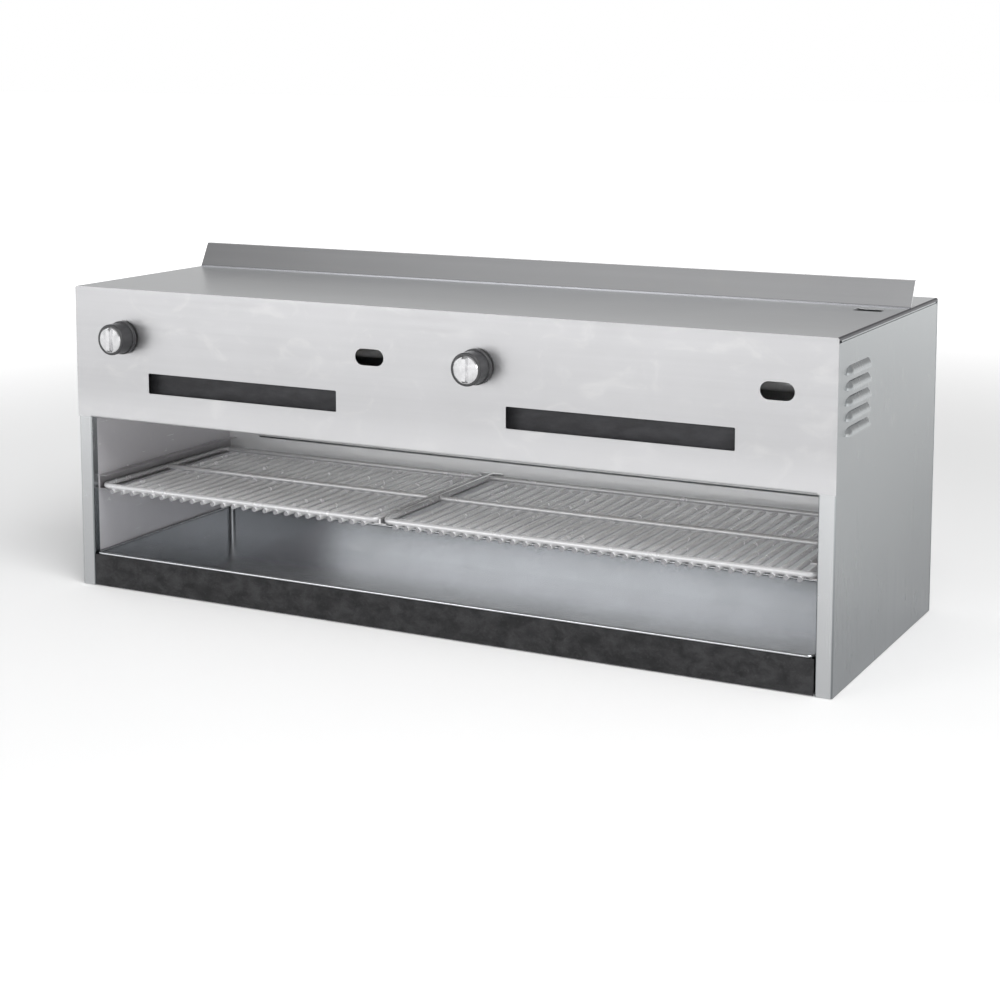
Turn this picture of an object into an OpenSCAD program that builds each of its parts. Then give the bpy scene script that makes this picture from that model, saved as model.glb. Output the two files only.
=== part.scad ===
// Gas cheese melter: a wide stainless case with two infrared burners in its ceiling, wire racks
// that slide on wall guides, and a drip pan that pulls out at the bottom.
// Millimetres. The origin is at the centre of the case's underside, +Y to the back, +Z up.

/* [Case] */
// Outer width of the case
case_w = 1219; // [1150:1:1400]
// Outer depth of the case, from the front panel to the back panel
case_d = 464; // [450:1:540]
// Height of the case, without the flue riser
case_h = 470; // [462:1:530]
// Thickness of the outer stainless sheet
skin_t = 1.5; // [1:0.1:2]
// Thickness of the inner sheet and of the back panel
liner_t = 1.2; // [0.8:0.1:1.5]
// Outer radius of the sheet bends
bend_r = 3; // [2.5:0.1:5]
// Outer radius of the roof's side bends and of the panel corners above them
roof_bend_r = 2.5; // [2:0.5:4]
// Height of the roof's side lips
roof_lip = 4.5; // [4.5:0.5:14]
// Groove between the roof's side lips and the side skins
roof_seam = 3; // [0.5:0.1:3]
// Width of the double side walls, seen from the front
side_wall = 24; // [22.5:0.5:30]
// Depth of the return behind each front flange
flange_return = 13; // [8:0.5:18]
// Width of the side panels' rear flanges
rear_flange_w = 22; // [18:1:30]
// Height of the base panel's upturned flanges
base_flange_h = 18; // [12:1:24]
// Width of the side liners' upper and lower flanges
liner_flange = 13; // [8:1:16]

/* [Front] */
// Height of the open front's upper edge
opening_top = 267; // [250:1:275]
// Length of each air slot
slot_l = 335; // [280:1:345]
// Height of each air slot
slot_h = 31; // [20:1:36]
// Height of the air slots' centre line
slot_z = 328; // [316:1:334]
// Corner radius of the air slots
slot_corner_r = 2; // [1:0.5:5]
// Gap between the front panel and the baffle behind each air slot
baffle_gap = 16; // [10:1:22]
// Length of each obround lighting port
port_l = 47; // [36:1:56]
// Height of each obround lighting port
port_h = 24; // [18:1:28]
// Offset of each lighting port from its burner's centre, along the width
port_offset = 224; // [220:1:230]

/* [Cavity] */
// Depth from the front plane to the rear liner's face
cavity_d = 367; // [355:1:376]
// Height of the burner deck above the open front's upper edge
deck_rise = 16; // [12:1:20]
// Distance from the burner deck down to the flue intakes
intake_drop = 5; // [3:0.5:10]
// Height of the flue intakes
intake_h = 22; // [14:1:26]
// Height of the draught slot's lower edge in the rear liner
draught_z = 177; // [174:1:200]
// Height of the draught slot
draught_h = 2.5; // [2:0.5:8]
// Number of flue intakes, and of the flue outlets above them
flue_count = 4; // [2:1:6]
// Width of the webs between them
flue_web = 26; // [16:1:40]
// Distance of each flue side plate from the case's side
flue_side_x = 75.5; // [73.5:0.5:109.5]

/* [Roof] */
// Distance from the front plane to the foot of the flue riser
riser_y = 325; // [300:1:332]
// Height of the flue riser above the roof
riser_h = 37.5; // [25:0.5:60]
// Backward lean of the flue riser over its height
riser_lean = 20; // [5:1:30]
// Depth of the riser's foot on the roof
riser_foot = 22; // [15:1:24]
// Depth of the hem along the riser's top
riser_hem = 7; // [4:0.5:10]
// Length of the vent slot near the roof's right end
vent_l = 40; // [24:1:50]
// Width of that vent slot
vent_w = 28; // [8:1:32]
// Distance of the vent slot's centre from the right end
vent_inset = 48; // [35:1:60]
// Distance of the vent slot's centre from the front plane
vent_y = 284; // [250:1:290]

/* [Louvres] */
// Number of louvres in each side
louvre_count = 5; // [3:1:6]
// Length of each louvre
louvre_l = 100; // [60:1:110]
// Height of each louvre
louvre_h = 12; // [8:0.5:14]
// Spacing of the louvres
louvre_pitch = 20; // [18:0.5:22]
// How far the louvres stand out
louvre_out = 6; // [4:0.5:8]
// Height of the lowest louvre's open edge
louvre_z = 337; // [320:1:340]
// Distance from the front plane to the louvres' front ends
louvre_y = 35; // [30:1:50]

/* [Racks] */
// Diameter of the rack's frame wires
frame_wire = 8; // [6:0.5:9]
// Diameter of the rack's cross wires
cross_wire = 7; // [4:0.5:8]
// Spacing of the cross wires
wire_pitch = 19; // [15:0.5:25]
// Depth of a weld between two wires
weld_bite = 0.6; // [0.3:0.1:1]
// Height of the guides' lower edge
guide_z = 150.5; // [125:0.5:155]
// Height of each rack guide
guide_h = 22; // [18:0.5:26]
// How far each rack guide stands out from the wall
guide_w = 14; // [11:0.5:18]
// Distance from the front plane to the guides' front ends
guide_front = 17; // [15:1:40]
// Clearance between a rack and what guides it
rack_gap = 0.6; // [0.4:0.1:1.5]
// Distance from the front plane to the racks' front wires
rack_front = 19; // [17:1:27]
// Gap between the racks and the rear liner
rack_rear_gap = 18; // [5:1:24]
// How far the cross wires reach past the frame's front wire
wire_past = 1.5; // [0.5:0.5:4]
// Position of the centre rail, from the middle of the case
rail_x = -76; // [-200:1:200]
// Thickness of the centre rail's web
rail_t = 3; // [2:0.5:5]
// Height of that web above the rail's flange
rail_rise = 7; // [4:0.5:12]
// Depth of the gusset under the centre rail, at the rear liner
rail_gusset = 36; // [20:1:50]
// Width of the rail's flange
rail_w = 20; // [18:1:30]
// Width of the rail's plate on the rear liner
rail_plate_w = 40; // [30:1:60]

/* [Drip pan] */
// Height of the pan's rim above the underside
pan_h = 54; // [40:1:70]
// Clearance at each side of the pan
pan_gap = 1; // [0.6:0.1:3]
// Gap behind the pan
pan_rear_gap = 3; // [2:1:12]
// Gap between the pan and the base panel under it
pan_lift = 0.3; // [0.2:0.1:1]
// Radius of the pan's rolled rim
rim_r = 2.2; // [1.6:0.1:3]

/* [Burners] */
// Spacing of the two burners
burner_spacing = 610; // [580:1:630]
// Distance from the front plane to the burners' centre line
burner_y = 190; // [180:1:200]
// Length of one ceramic tile
tile_l = 132; // [110:1:133]
// Width of one ceramic tile
tile_w = 92; // [80:1:96]
// Thickness of a ceramic tile
tile_t = 13; // [10:0.5:16]
// Gap round each tile
tile_gap = 1; // [0.5:0.1:1.5]
// Number of tiles along a burner
tiles_long = 3; // [2:1:3]
// Number of tiles across a burner
tiles_wide = 2; // [1:1:2]
// Height of the burner's gas box above the deck
plenum_h = 42; // [30:1:44]
// Width of the gas box's flange
plenum_flange = 13; // [8:1:14]
// Spacing of the holes in the burner guard
guard_pitch = 22; // [16:1:30]
// Width of the bars between those holes
guard_bar = 3; // [2:0.5:5]
// How far the guard laps over the deck
guard_lap = 10; // [6:1:12]
// Outer radius of the mixing tube
mixer_r = 19; // [15:0.5:20]
// Radius of the mixing tube's mouth
mouth_r = 26; // [22:0.5:28]
// Length of the mixing tube, from its mouth to the burner's centre
mixer_l = 150; // [130:1:160]

/* [Gas line] */
// Height of the knobs, valves and manifold
knob_z = 396; // [390:1:402]
// Offset of each knob from its burner's centre, along the width
knob_offset = 212; // [208:1:222]
// Distance from the front plane to the manifold's centre line
manifold_y = 62; // [58:1:68]
// Outer radius of the gas pipe
pipe_r = 10.7; // [8:0.1:11]
// Bore radius of the gas pipe
pipe_bore_r = 7.9; // [5:0.1:7.9]
// Radius of the valves' bodies
valve_r = 12; // [10:0.5:13]
// Radius of the burner supply tubes
tube_r = 4.8; // [3:0.1:5.5]
// Bend radius of the burner supply tubes
tube_bend_r = 15; // [12:0.5:18]
// Distance of each pilot valve from its lighting port, towards the burner's centre
pilot_back = 60; // [45:1:75]
// Radius of the pilot tubes
pilot_tube_r = 2; // [1.5:0.1:2.5]
// Distance from the case's right side to the centre of the supply pipe that runs to the back
supply_x = 39.5; // [37.5:0.5:43.5]
// Radius of the regulator's body
regulator_r = 29; // [24:0.5:32]
// Bore radius of the gas inlet at the back
inlet_bore_r = 12; // [10:0.1:12.5]
// Outer radius of the inlet coupling
coupling_r = 17; // [14:0.5:18]
// How far the inlet coupling stands out of the back
inlet_out = 8; // [2:1:20]

/* [Knobs] */
// Diameter of the knob's skirt
knob_d = 51; // [44:0.5:56]
// Depth of the knob's body
knob_l = 32; // [28:0.5:42]
// Width of the rim round the knob's cap
knob_rim = 6; // [4:0.5:9]
// Gap between the knob and the front panel
knob_gap = 2; // [1:0.5:4]
// Thickness of the finger bar on the knob's cap
grip_t = 10; // [7:0.5:14]
// How far that bar stands out of the cap
grip_out = 5; // [3:0.5:8]
// Radius of the valve's stem
stem_r = 4; // [3:0.1:5]
// Running clearance round the stem
stem_gap = 0.06; // [0.03:0.01:0.1]

/* [Fixings] */
// Radius of the leg bolt holes, for 3/8 in bolts
leg_hole_r = 5; // [4:0.1:5.5]
// Distance of the leg bolt holes from the case's side faces
leg_inset = 11.5; // [11.3:0.1:12]
// Distance of the leg bolt holes from the middle, front to back
leg_y = 190; // [150:1:195]
// Radius of the wall bolt holes in the back panel
wall_hole_r = 4.5; // [3:0.1:6]
// Distance of the wall bolt holes from the middle
wall_hole_x = 480; // [300:1:500]
// Height of the lower wall bolt holes
wall_hole_z = 90; // [50:1:120]
// Height of the upper wall bolt holes above the lower ones
wall_hole_rise = 300; // [200:1:320]
// Depth of the spacer rail at the foot of the back
rear_rail_d = 8; // [5:0.5:15]
// Height of the spacer rail
rear_rail_h = 26; // [20:1:40]
// Radius of a sheet screw's shank
screw_r = 2; // [1.5:0.1:2.5]
// Radius of a sheet screw's head
screw_head_r = 4.5; // [3.5:0.1:6]

/* [Hidden] */
$fn = 48;

// Case planes
half_w = case_w / 2;
front_y = -case_d / 2;
back_y = case_d / 2;
skin_x = half_w - skin_t;
wall_x = half_w - side_wall;
flange_y = front_y + skin_t;
return_y = flange_y + flange_return;
back_in_y = back_y - liner_t;
rear_y = front_y + cavity_d;
chase_y = rear_y + liner_t;
roof_z = case_h - skin_t;
side_top = case_h - roof_lip - roof_seam;
deck_z = opening_top + deck_rise;
deck_top = deck_z + liner_t;
seam_gap = 0.5;
cleat_lap = 16;
over = 1;

// Front lip of the cavity, and what stands on it
deck_front_y = return_y + seam_gap;
lip_y = deck_front_y + liner_t + seam_gap;

// Flue
flue_cx = half_w - flue_side_x;
flue_half = flue_cx - liner_t - 8;
flue_l = (2 * flue_half - (flue_count - 1) * flue_web) / flue_count;
flue_flange = 10;
intake_z = deck_z - intake_drop - intake_h;
roof_flange_h = 20;
outlet_edge = 4;
outlet_y0 = chase_y + outlet_edge;
outlet_y1 = back_in_y - skin_t - 22;

// Guides and racks
guide_y = front_y + guide_front;
support_z = guide_z + liner_t;
frame_r = frame_wire / 2;
cross_r = cross_wire / 2;
rack_z = support_z + 0.3 + frame_r;
cross_z = rack_z - frame_r - cross_r + weld_bite;
rack_y0 = front_y + rack_front;
rack_y1 = rear_y - rack_rear_gap - frame_r;
rack_corner_r = 12;
rack_outer_x = wall_x - liner_t - rack_gap - frame_r;
rack_inner_gap = rail_t / 2 + rack_gap + frame_r;

// Pan
pan_x = wall_x - pan_gap;
pan_z = skin_t + pan_lift;
pan_y0 = flange_y + skin_t;
tray_x = pan_x - rim_r + liner_t / 2;
tray_y1 = rear_y - pan_rear_gap - rim_r + liner_t / 2;
tray_corner_r = 10;
floor_y0 = pan_y0 + 4;

// Burners
burner_x = burner_spacing / 2;
burner_cy = front_y + burner_y;
field_l = tiles_long * tile_l + (tiles_long - 1) * tile_gap;
field_w = tiles_wide * tile_w + (tiles_wide - 1) * tile_gap;
well_l = field_l + 2 * tile_gap;
well_w = field_w + 2 * tile_gap;
plenum_top = deck_top + plenum_h;
mixer_z = knob_z - valve_r - tube_bend_r - 10;
mixer_bend = mixer_z - plenum_top - 4;

// Gas line
manifold_cy = front_y + manifold_y;
supply_cx = half_w - supply_x;
valve_y0 = flange_y + 12;
manifold_x0 = -burner_x - knob_offset - 40;
elbow_r = pipe_r + 4.5;
thread_l = 12;
elbow_reach = 26;
manifold_x1 = supply_cx - elbow_reach + thread_l;
bracket_offset = 130;
bracket_x = burner_x + bracket_offset;
bracket_t = 3;
regulator_back = 85;
regulator_y = manifold_cy + regulator_back;
port_reach = regulator_r + 12;
coupling_l = 36;
inlet_depth = 18;
valve_cy = valve_y0 + 20;
orifice_gap = 24;
orifice_x = -mixer_l - orifice_gap;
orifice_socket = 6;
pilot_hole_r = 7;
pilot_body_r = 5;
pilot_up = 12;
pilot_bend_r = 10;

// Knobs
stem_hole_r = stem_r + 3;
stem_depth = 18;
stem_in = 20;
cap_sink = 2;
cap_play = 0.1;
knob_back_y = front_y - knob_gap;

// Screws and nuts
nut_r = 8;
screw_play = 0.1;
screw_inset = 44;
side_screw_z = [for (k = [0 : 3]) screw_inset + k * (side_top - 2 * screw_inset) / 3];
roof_screw_x = [for (k = [-1.5 : 1 : 1.5]) k * flue_cx / 2.2];
roof_screw_z = roof_z - roof_flange_h / 2;
side_screw_x = half_w - rear_flange_w / 2;

steel = [0.80, 0.81, 0.82];
dull_steel = [0.62, 0.64, 0.65];
black = [0.20, 0.20, 0.21];
chrome = [0.85, 0.86, 0.88];
brass = [0.76, 0.63, 0.34];

// ---- shapes used more than once ----

// Quarter ring of sheet, centred on the origin, in the quadrant between +X and +Y
module bend_ring(r, t) {
  difference() {
    circle(r);
    circle(r - t);
    translate([-r - over, -r - over]) square([r + over, 2 * (r + over)]);
    translate([-over, -r - over]) square([r + 2 * over, r + over]);
  }
}

// Box from one corner to the opposite one
module box(low, high) {
  translate(low) cube(high - low);
}

// Cylinder from a point along +X, +Y or +Z
module rod_x(p, l, r) {
  translate(p) rotate([0, 90, 0]) cylinder(h = l, r = r);
}

module rod_y(p, l, r) {
  translate(p) rotate([-90, 0, 0]) cylinder(h = l, r = r);
}

module rod_z(p, l, r) {
  translate(p) cylinder(h = l, r = r);
}

// Solid bar with round ends, lying along X and cut through Y
module obround(x, z, l, h, y, depth) {
  r = h / 2;
  rod_y([x - l / 2 + r, y, z], depth, r);
  rod_y([x + l / 2 - r, y, z], depth, r);
  box([x - l / 2 + r, y, z - r], [x + l / 2 - r, y + depth, z + r]);
}

// Quarter turn of wire about an axis along Z, from +X to +Y, centred on the origin
module wire_bend(r, wire) {
  rotate_extrude(angle = 90) translate([r, 0]) circle(wire);
}

// Closed loop of round wire with round corners, through the given centre lines
module wire_loop(x0, x1, y0, y1, z, c, r) {
  for (y = [y0, y1]) rod_x([x0 + c, y, z], x1 - x0 - 2 * c, r);
  for (x = [x0, x1]) rod_y([x, y0 + c, z], y1 - y0 - 2 * c, r);
  translate([x1 - c, y1 - c, z]) wire_bend(c, r);
  translate([x0 + c, y1 - c, z]) rotate(90) wire_bend(c, r);
  translate([x0 + c, y0 + c, z]) rotate(180) wire_bend(c, r);
  translate([x1 - c, y0 + c, z]) rotate(270) wire_bend(c, r);
}

// Extrudes a profile drawn in Y and Z along X, from -x to +x
module along_x(x) {
  translate([-x, 0, 0]) rotate([90, 0, 90]) linear_extrude(2 * x) children();
}

// Extrudes a profile drawn in X and Z along Y
module along_y(y0, y1) {
  translate([0, y1, 0]) rotate([90, 0, 0]) linear_extrude(y1 - y0) children();
}

// Full outline of the front and the back panel, with the roof's corner radius
module panel_outline(z0) {
  r = roof_bend_r;
  translate([-half_w, z0]) square([case_w, case_h - r - z0]);
  translate([-half_w + r, z0]) square([case_w - 2 * r, case_h - z0]);
  for (s = [-1, 1]) translate([s * (half_w - r), case_h - r]) circle(r);
}

module mirrored_left() {
  mirror([1, 0, 0]) children();
}

// ---- case ----

module side_plan() {
  r = bend_r;
  x1 = half_w;
  translate([skin_x, flange_y + r]) square([skin_t, back_in_y - flange_y - 2 * r]);
  translate([x1 - r, flange_y + r]) rotate(-90) bend_ring(r, skin_t);
  translate([wall_x + r, flange_y]) square([side_wall - 2 * r, skin_t]);
  translate([wall_x + r, flange_y + r]) rotate(180) bend_ring(r, skin_t);
  translate([wall_x, flange_y + r]) square([skin_t, flange_return - r]);
  translate([x1 - r, back_in_y - r]) bend_ring(r, skin_t);
  translate([x1 - rear_flange_w, back_in_y - skin_t]) square([rear_flange_w - r, skin_t]);
}

// Bar with round ends, let into the skin by all but its bulge, less d all round, and cut off
// inside x0 and below z0
module louvre_form(d, x0, z0) {
  big_r = (pow(louvre_h, 2) + pow(louvre_out, 2)) / (2 * louvre_out);
  x = half_w + louvre_out - big_r;
  y0 = front_y + louvre_y + louvre_h;
  y1 = front_y + louvre_y + louvre_l - louvre_h;
  intersection() {
    union() {
      rod_y([x, y0, 0], y1 - y0, big_r - d);
      for (y = [y0, y1]) translate([x, y, 0]) sphere(big_r - d);
    }
    box([x0, front_y, z0], [half_w + louvre_out + over, back_y, big_r]);
  }
}

// Copies of one shape at every louvre
module louvres() {
  for (k = [0 : louvre_count - 1]) translate([0, 0, louvre_z + k * louvre_pitch]) children();
}

module side_panel() {
  difference() {
    union() {
      linear_extrude(side_top) side_plan();
      // Cleat inside the skin's top edge, which carries the roof
      box([skin_x - skin_t, return_y + over, side_top - cleat_lap],
          [skin_x, back_in_y - skin_t - over, case_h - roof_bend_r]);
      louvres() louvre_form(0, skin_x, 0);
    }
    louvres() louvre_form(skin_t, skin_x - over, -over);
    // Room for the base panel, which lies inside the skin
    box([wall_x - over, flange_y + bend_r, -over], [skin_x, back_y, skin_t]);
    for (z = side_screw_z)
      rod_y([side_screw_x, back_in_y - 3 * skin_t, z], 4 * skin_t, screw_r + screw_play);
  }
}

module left_side_panel() {
  color(steel) mirrored_left() side_panel();
}

module right_side_panel() {
  color(steel) side_panel();
}

module roof_section() {
  r = roof_bend_r;
  translate([-half_w + r, roof_z]) square([case_w - 2 * r, skin_t]);
  for (s = [0, 1]) mirror([s, 0]) {
    translate([half_w - r, case_h - r]) bend_ring(r, skin_t);
    translate([skin_x, case_h - roof_lip]) square([skin_t, roof_lip - r]);
  }
}

// X of the left edge of flue opening k
function flue_x(k) = -flue_half + k * (flue_l + flue_web);

module roof_panel() {
  color(steel) difference() {
    union() {
      along_y(flange_y, back_in_y) roof_section();
      box([-flue_cx + 2, back_in_y - skin_t, roof_z - roof_flange_h],
          [flue_cx - 2, back_in_y, roof_z]);
    }
    for (k = [0 : flue_count - 1])
      box([flue_x(k), outlet_y0, roof_z - over], [flue_x(k) + flue_l, outlet_y1, case_h + over]);
    translate([half_w - vent_inset, front_y + vent_y, roof_z - over]) vent_cut();
    for (x = roof_screw_x)
      rod_y([x, back_in_y - 2 * skin_t, roof_screw_z], 3 * skin_t, screw_r + screw_play);
  }
}

module vent_cut() {
  r = 3;
  x = vent_l / 2;
  y = vent_w / 2;
  h = skin_t + 2 * over;
  for (i = [-1, 1]) for (j = [-1, 1]) rod_z([i * (x - r), j * (y - r), 0], h, r);
  box([-x, -y + r, 0], [x, y - r, h]);
  box([-x + r, -y, 0], [x - r, y, h]);
}

module flue_riser() {
  y0 = front_y + riser_y;
  z1 = case_h + riser_h;
  // Horizontal thickness of the leaning plate
  tilt_t = skin_t * sqrt(pow(riser_h, 2) + pow(riser_lean, 2)) / riser_h;
  color(steel) along_x(half_w - 1) union() {
    polygon([
      [y0, case_h],
      [y0 + tilt_t, case_h],
      [y0 + riser_lean + tilt_t, z1],
      [y0 + riser_lean, z1]
    ]);
    translate([y0, case_h]) square([riser_foot, skin_t]);
    translate([y0 + riser_lean, z1 - skin_t]) square([riser_hem + tilt_t, skin_t]);
  }
}

module wall_hole_at(x, z) {
  rod_y([x, back_in_y - over, z], liner_t + 2 * over, wall_hole_r);
}

module back_panel() {
  color(dull_steel) difference() {
    along_y(back_in_y, back_y) panel_outline(0);
    for (x = [-wall_hole_x, wall_hole_x])
      for (z = [wall_hole_z, wall_hole_z + wall_hole_rise]) wall_hole_at(x, z);
    rod_y([supply_cx, back_in_y - over, knob_z], liner_t + 2 * over, coupling_r + 1);
    for (s = [-1, 1])
      for (z = side_screw_z) rod_y([s * side_screw_x, back_in_y - over, z], 3 * over, screw_r + screw_play);
    for (x = roof_screw_x) rod_y([x, back_in_y - over, roof_screw_z], 3 * over, screw_r + screw_play);
  }
}

module base_panel() {
  color(dull_steel) difference() {
    union() {
      box([-wall_x, floor_y0, 0], [wall_x, back_in_y, skin_t]);
      for (s = [0, 1]) mirror([s, 0, 0]) {
        box([wall_x - over, return_y + seam_gap, 0], [skin_x, back_in_y, skin_t]);
        box([skin_x - skin_t, return_y + seam_gap, 0],
            [skin_x, back_in_y - bend_r - seam_gap, base_flange_h]);
      }
      box([-flue_cx + 2, back_in_y - skin_t, 0], [flue_cx - 2, back_in_y, base_flange_h]);
    }
    for (x = [-1, 1]) for (y = [-1, 1])
      rod_z([x * (half_w - leg_inset), y * leg_y, -over], skin_t + 2 * over, leg_hole_r);
  }
}

module front_panel() {
  r = bend_r;
  inner = wall_x - seam_gap;
  // The face's lower edge is a bend between the side walls and a plain edge in front of them
  color(steel) difference() {
    union() {
      difference() {
        along_y(front_y, flange_y) panel_outline(opening_top);
        box([-inner, front_y - over, opening_top - over], [inner, flange_y + over, opening_top + r]);
      }
      along_x(inner) {
        translate([front_y + r, opening_top + r]) rotate(180) bend_ring(r, skin_t);
        translate([front_y + r, opening_top]) square([lip_y - front_y - r, skin_t]);
      }
      box([-skin_x + 2 * skin_t, flange_y, roof_z - skin_t],
          [skin_x - 2 * skin_t, return_y, roof_z]);
    }
    for (s = [-1, 1]) {
      cx = s * burner_x;
      rod_y([cx - knob_offset, front_y - over, knob_z], skin_t + 2 * over, stem_hole_r);
      obround(cx + port_offset, knob_z, port_l, port_h, front_y - over, skin_t + 2 * over);
      slot_cut(cx);
    }
  }
}

module slot_cut(cx) {
  r = slot_corner_r;
  y = front_y - over;
  d = skin_t + 2 * over;
  box([cx - slot_l / 2, y, slot_z - slot_h / 2 + r], [cx + slot_l / 2, y + d, slot_z + slot_h / 2 - r]);
  box([cx - slot_l / 2 + r, y, slot_z - slot_h / 2], [cx + slot_l / 2 - r, y + d, slot_z + slot_h / 2]);
  for (i = [-1, 1]) for (j = [-1, 1])
    rod_y([cx + i * (slot_l / 2 - r), y, slot_z + j * (slot_h / 2 - r)], d, r);
}

// Black plate behind each air slot, hung from the front panel and open at the bottom
module slot_baffle(cx) {
  x = slot_l / 2 + 10;
  z0 = slot_z - slot_h / 2 - 6;
  z1 = slot_z + slot_h / 2 + 6;
  y1 = flange_y + baffle_gap;
  color(black) translate([cx, 0, 0]) {
    box([-x, flange_y, z1], [x, flange_y + liner_t, z1 + 14]);
    box([-x, flange_y, z1], [x, y1 + liner_t, z1 + liner_t]);
    box([-x, y1, z0], [x, y1 + liner_t, z1 + liner_t]);
  }
}

module left_slot_baffle() {
  slot_baffle(-burner_x);
}

module right_slot_baffle() {
  slot_baffle(burner_x);
}

// ---- cavity ----

module liner() {
  difference() {
    union() {
      box([wall_x, return_y, skin_t], [wall_x + liner_t, rear_y, deck_z]);
      box([wall_x, return_y, skin_t], [wall_x + liner_flange, rear_y, skin_t + liner_t]);
      box([wall_x, return_y, deck_z - liner_t], [wall_x + liner_flange, rear_y, deck_z]);
    }
    for (y = [-1, 1])
      rod_z([half_w - leg_inset, y * leg_y, 0], skin_t + liner_t + over, nut_r + 1);
  }
}

module left_liner() {
  color(dull_steel) mirrored_left() liner();
}

module right_liner() {
  color(dull_steel) liner();
}

module rear_liner() {
  x = skin_x - skin_t - seam_gap;
  color(dull_steel) difference() {
    box([-x, rear_y, skin_t], [x, chase_y, roof_z]);
    for (k = [0 : flue_count - 1])
      box([flue_x(k), rear_y - over, intake_z], [flue_x(k) + flue_l, chase_y + over, intake_z + intake_h]);
    // Narrow slot that draws air along the liner
    box([-flue_half, rear_y - over, draught_z], [flue_half, chase_y + over, draught_z + draught_h]);
    rod_y([supply_cx, rear_y - over, knob_z], liner_t + 2 * over, pipe_r + 1.5);
  }
}

// Upright plate that closes one end of the flue, with flanges on both liners
module flue_side() {
  x = flue_cx;
  notch = max(base_flange_h, roof_flange_h) + 2;
  box([x - liner_t, chase_y, skin_t], [x, back_in_y - skin_t - over, roof_z]);
  box([x - liner_t, chase_y, notch], [x, back_in_y, roof_z - notch]);
  box([x - liner_t, chase_y, skin_t], [x + flue_flange, chase_y + liner_t, roof_z]);
  box([x - liner_t, back_in_y - liner_t, notch], [x + flue_flange, back_in_y, roof_z - notch]);
}

module left_flue_side() {
  color(dull_steel) mirrored_left() flue_side();
}

module right_flue_side() {
  color(dull_steel) flue_side();
}

module burner_deck() {
  x = skin_x - skin_t - seam_gap;
  color(dull_steel) difference() {
    union() {
      box([-x, deck_front_y, deck_z], [x, rear_y, deck_top]);
      box([-wall_x + seam_gap, deck_front_y, opening_top + skin_t],
          [wall_x - seam_gap, deck_front_y + liner_t, deck_z]);
    }
    for (s = [-1, 1]) {
      box([s * burner_x - well_l / 2, burner_cy - well_w / 2, deck_z - over],
          [s * burner_x + well_l / 2, burner_cy + well_w / 2, deck_top + over]);
      rod_z([s * burner_x + port_offset, burner_cy, deck_z - over], liner_t + 2 * over, pilot_hole_r);
    }
  }
}

// ---- racks and their supports ----

module rack_guide() {
  y1 = rear_y;
  box([wall_x - liner_t, guide_y, guide_z], [wall_x, y1, guide_z + guide_h]);
  for (z = [guide_z, guide_z + guide_h - liner_t])
    box([wall_x - guide_w, guide_y, z], [wall_x, y1, z + liner_t]);
}

module left_rack_guide() {
  color(dull_steel) mirrored_left() rack_guide();
}

module right_rack_guide() {
  color(dull_steel) rack_guide();
}

// T rail that carries both racks' inner sides, on a plate on the rear liner, with a gusset under it
module centre_rack_rail() {
  t = rail_t / 2;
  w = rail_plate_w / 2;
  web_top = support_z + rail_rise;
  foot = guide_z - rail_gusset;
  color(dull_steel) {
    box([rail_x - t, guide_y, guide_z], [rail_x + t, rear_y, web_top]);
    box([rail_x - rail_w / 2, guide_y, guide_z], [rail_x + rail_w / 2, rear_y, support_z]);
    box([rail_x - w, rear_y - 2 * liner_t, foot - guide_w / 2], [rail_x + w, rear_y, web_top]);
    translate([rail_x - t, 0, 0]) rotate([90, 0, 90]) linear_extrude(rail_t)
      polygon([
        [rear_y, foot],
        [rear_y, support_z],
        [guide_y + guide_w, support_z],
        [guide_y + guide_w, guide_z]
      ]);
  }
}

module rack(x0, x1) {
  margin = max(rack_corner_r, guide_w) + cross_r;
  n = floor((x1 - x0 - 2 * margin) / wire_pitch);
  first = (x0 + x1) / 2 - n * wire_pitch / 2;
  y0 = rack_y0 - frame_r - wire_past;
  color(chrome) {
    wire_loop(x0, x1, rack_y0, rack_y1, rack_z, rack_corner_r, frame_r);
    rod_x([x0, (rack_y0 + rack_y1) / 2, rack_z], x1 - x0, frame_r);
    // Cross wires, welded under the frame
    for (k = [0 : n]) rod_y([first + k * wire_pitch, y0, cross_z], rack_y1 + frame_r - y0, cross_r);
  }
}

module left_rack() {
  rack(-rack_outer_x, rail_x - rack_inner_gap);
}

module right_rack() {
  rack(rail_x + rack_inner_gap, rack_outer_x);
}

// ---- drip pan ----

// Plan of the tray, shrunk by d on every side
module tray_plan(d) {
  x = tray_x - d;
  y0 = pan_y0 + d;
  y1 = tray_y1 - d;
  r = tray_corner_r - d;
  translate([-x, y0 + r]) square([2 * x, y1 - y0 - 2 * r]);
  translate([-x + r, y0]) square([2 * (x - r), y1 - y0]);
  for (s = [-1, 1]) for (y = [y0 + r, y1 - r]) translate([s * (x - r), y]) circle(r);
}

module drip_pan() {
  rim_z = pan_h - rim_r;
  mid = liner_t / 2;
  color(steel) {
    translate([0, 0, pan_z]) linear_extrude(liner_t) tray_plan(0);
    translate([0, 0, pan_z]) linear_extrude(rim_z - pan_z) difference() {
      tray_plan(0);
      tray_plan(liner_t);
    }
    wire_loop(-tray_x + mid, tray_x - mid, pan_y0 + mid, tray_y1 - mid, rim_z,
              tray_corner_r - mid, rim_r);
  }
}

module pan_front() {
  color(black) box([-pan_x, flange_y, 1], [pan_x, pan_y0, pan_h - 2 * rim_r]);
}

// ---- knobs and valves ----

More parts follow.
